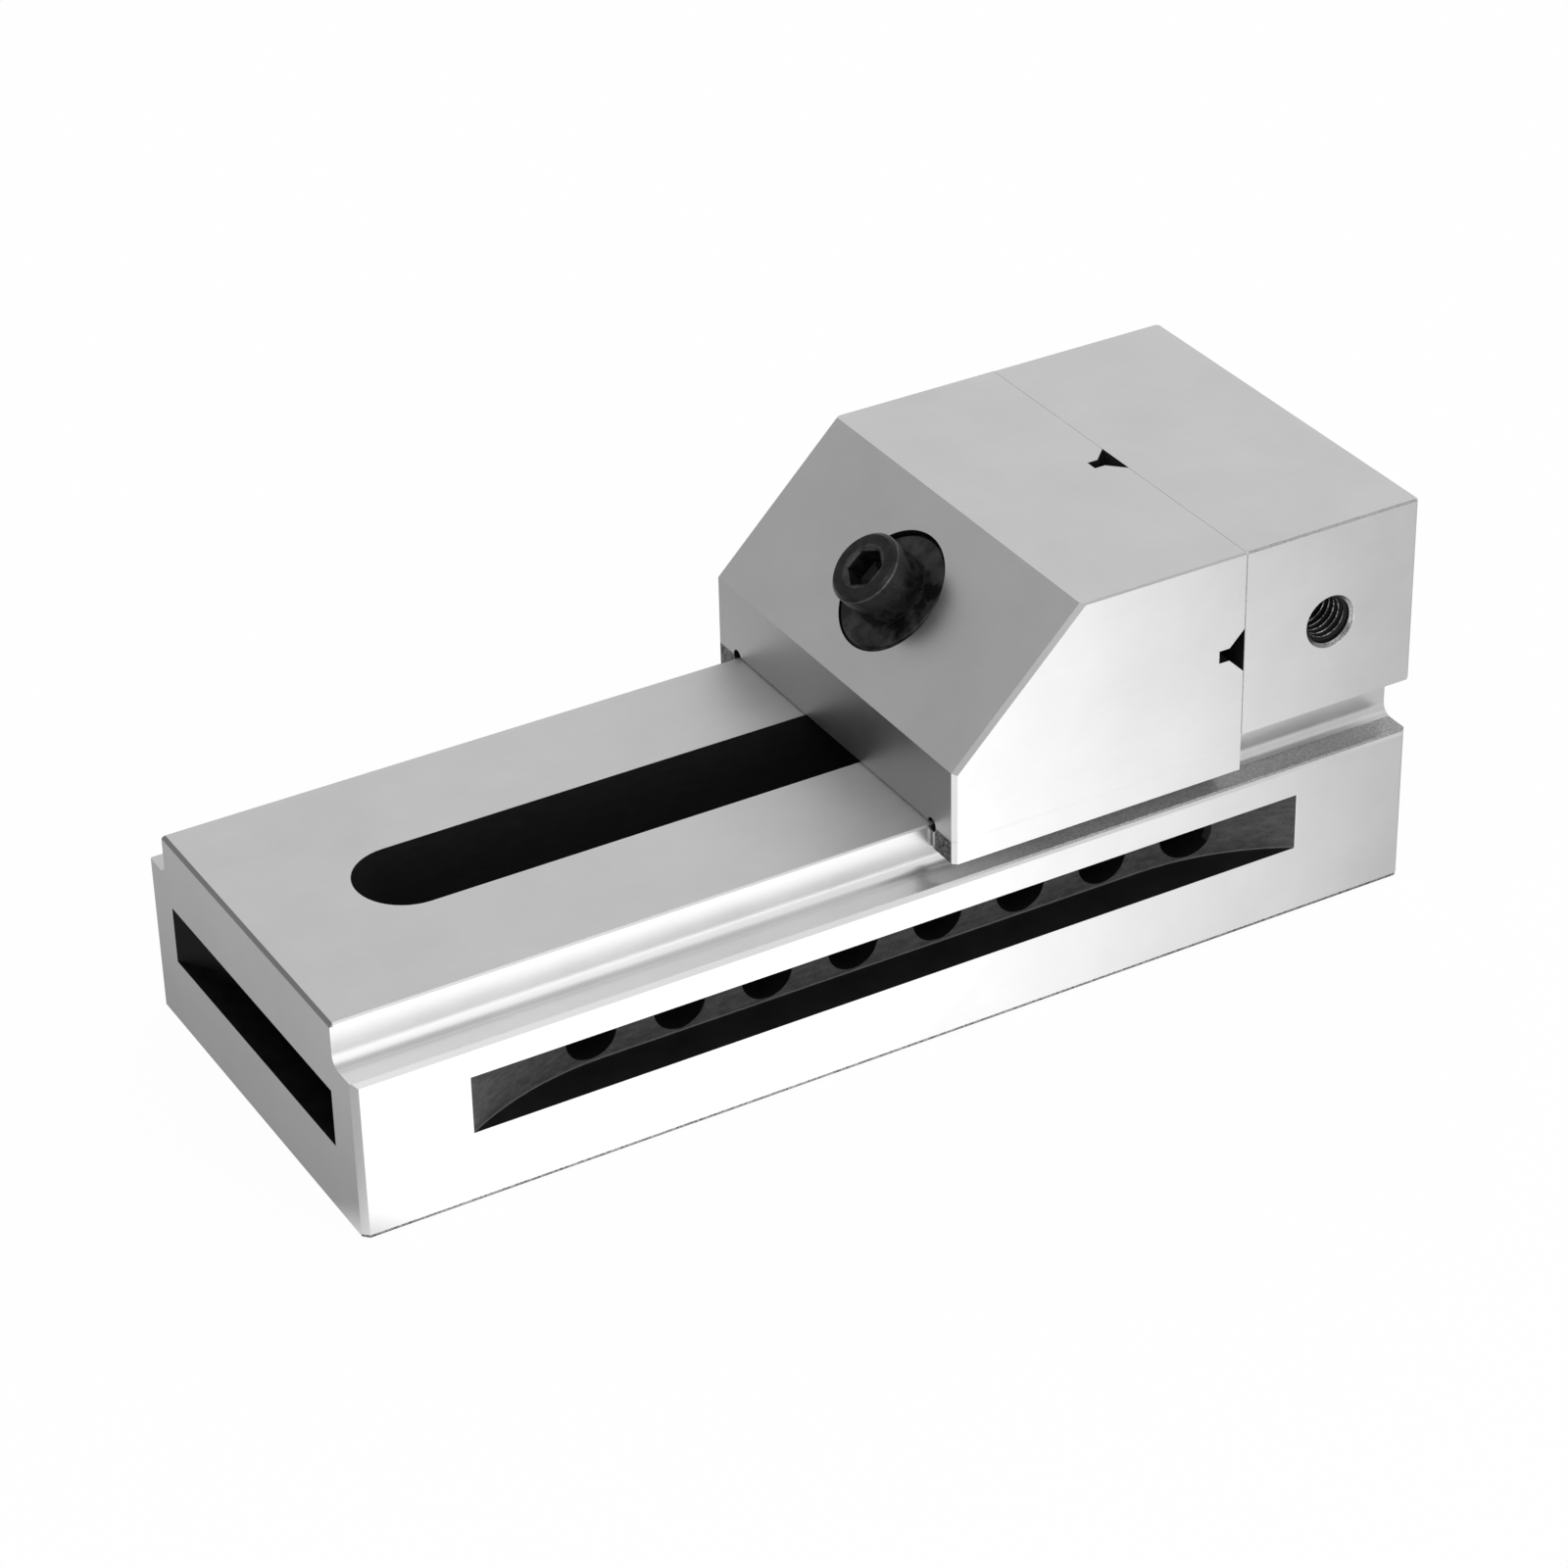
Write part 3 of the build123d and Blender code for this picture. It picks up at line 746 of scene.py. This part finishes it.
def studio_world():
    """White for the camera. To the object it is a soft room, dimmest at the back left.

    A window stands in front, with a low and a high band. A dark stand before it shows in the
    object's square inner corners, which throw a look straight back.
    """
    world = bpy.data.worlds.new("studio")
    bpy.context.scene.world = world
    shader = Shader(world)
    direction = shader.coordinate("Generated")
    x, y, z = shader.split(direction)
    across = 0.5 * x + 0.5
    overhead = shader.ramp(z, (0.58, 0), (0.68, 1))
    in_front = shader.ramp(y * -1, (0.3, 0), (0.6, 1))
    low = 1.8 * shader.ramp(across, *WINDOW_LOW)
    high = 1.2 * shader.ramp(across, *WINDOW_HIGH)
    window = low * (1 - overhead) + high * overhead
    behind = 0.545 + 0.17 * (1 + y) * x
    dark_stand = shader.ramp(shader.dot(direction, DARK_STAND_DIRECTION), (0.984, 0), (0.992, 1))
    room = (behind * (1 - in_front) + window * in_front) * (1 - 0.85 * dark_stand)
    seen = shader.add("ShaderNodeLightPath", out="Is Camera Ray")
    light = shader.mix(seen, room, grey(1.0))
    backdrop = shader.add("ShaderNodeBackground", inputs={"Color": light, "Strength": 1.0})
    shader.finish("ShaderNodeOutputWorld", backdrop)


def key_lamp():
    """Small square lamp that faces the vise from the front left, for its soft shadows."""
    lamp = bpy.data.lights.new("key", "AREA")
    lamp.shape = "SQUARE"
    lamp.size = LAMP_SIZE
    lamp.energy = LAMP_POWER
    made = bpy.data.objects.new("key", lamp)
    bpy.context.scene.collection.objects.link(made)
    made.location = LAMP_PLACE
    towards = Vector(LAMP_TARGET) - Vector(LAMP_PLACE)
    made.rotation_euler = towards.to_track_quat("-Z", "Y").to_euler()


def studio_camera():
    """Camera at the photograph's place, from its right and forward directions."""
    right = Vector(CAMERA_RIGHT)
    forward = Vector(CAMERA_FORWARD)
    up = right.cross(forward)
    camera = bpy.data.cameras.new("camera")
    camera.lens = CAMERA_LENS
    camera.sensor_width = SENSOR_WIDTH
    camera.clip_start, camera.clip_end = 0.05, 20.0
    made = bpy.data.objects.new("camera", camera)
    bpy.context.scene.collection.objects.link(made)
    turn = Matrix((right, up, -forward)).transposed().to_4x4()
    made.matrix_world = Matrix.Translation(CAMERA_PLACE) @ turn
    bpy.context.scene.camera = made


studio_floor()
studio_world()
key_lamp()
studio_camera()
bpy.context.scene.view_settings.view_transform = "Standard"
